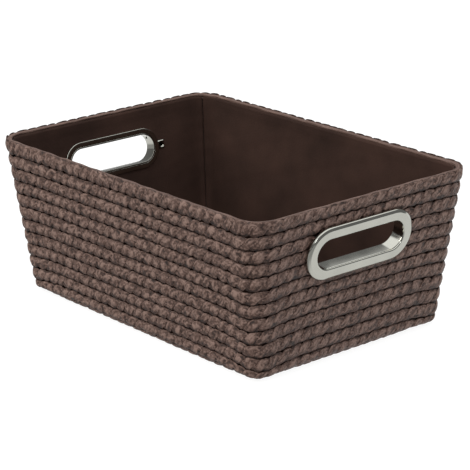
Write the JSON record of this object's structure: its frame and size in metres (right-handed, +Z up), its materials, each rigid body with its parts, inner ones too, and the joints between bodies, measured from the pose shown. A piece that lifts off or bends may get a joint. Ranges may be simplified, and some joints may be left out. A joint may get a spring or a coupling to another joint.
{
  "type": "storage basket",
  "caption": "Open rectangular storage basket of plaited tape rows, tapered, cloth-lined, with an oval metal-ringed grip hole in each short wall.",
  "frame": {"origin": "middle of the underside, on the surface the basket stands on", "axes": "+X along the length towards the right grip, +Y across the width towards the back wall, +Z up"},
  "size_m": [0.3608, 0.2432, 0.142],
  "materials": {
    "plaited_tape": "plaited flat strands, dark taupe brown, dull sheen",
    "lining_cloth": "plain smooth non-woven cloth, dark brown, matt",
    "stiff_board": "grey-brown board, unprinted",
    "frame_wire": "drawn steel wire",
    "bright_metal": "bright plated, flat face and sloping rim"
  },
  "bodies": {
    "root": {"braid_row_01": "plaited_tape", "braid_row_02": "plaited_tape", "braid_row_03": "plaited_tape", "braid_row_04_front": "plaited_tape", "braid_row_04_back": "plaited_tape", "braid_row_05": "plaited_tape", "braid_row_06": "plaited_tape", "braid_row_07": "plaited_tape", "braid_row_08": "plaited_tape", "braid_row_09": "plaited_tape", "braid_row_10": "plaited_tape", "braid_row_11": "plaited_tape", "braid_row_12": "plaited_tape", "braid_row_13": "plaited_tape", "base_row_01": "plaited_tape", "base_row_02": "plaited_tape", "base_row_03": "plaited_tape", "base_row_04": "plaited_tape", "base_row_05": "plaited_tape", "base_row_06": "plaited_tape", "base_row_07": "plaited_tape", "base_row_08": "plaited_tape", "rim_wire": "frame_wire", "foot_wire": "frame_wire", "corner_post_back_right": "frame_wire", "corner_post_back_left": "frame_wire", "corner_post_front_left": "frame_wire", "corner_post_front_right": "frame_wire", "floor_board": "stiff_board", "liner_floor": "lining_cloth", "liner_back": "lining_cloth", "liner_front": "lining_cloth", "liner_left": "lining_cloth", "liner_right": "lining_cloth", "grip_left_front_ring": "bright_metal", "grip_left_back_ring": "bright_metal", "grip_right_front_ring": "bright_metal", "grip_right_back_ring": "bright_metal"}
  },
  "joints": []
}
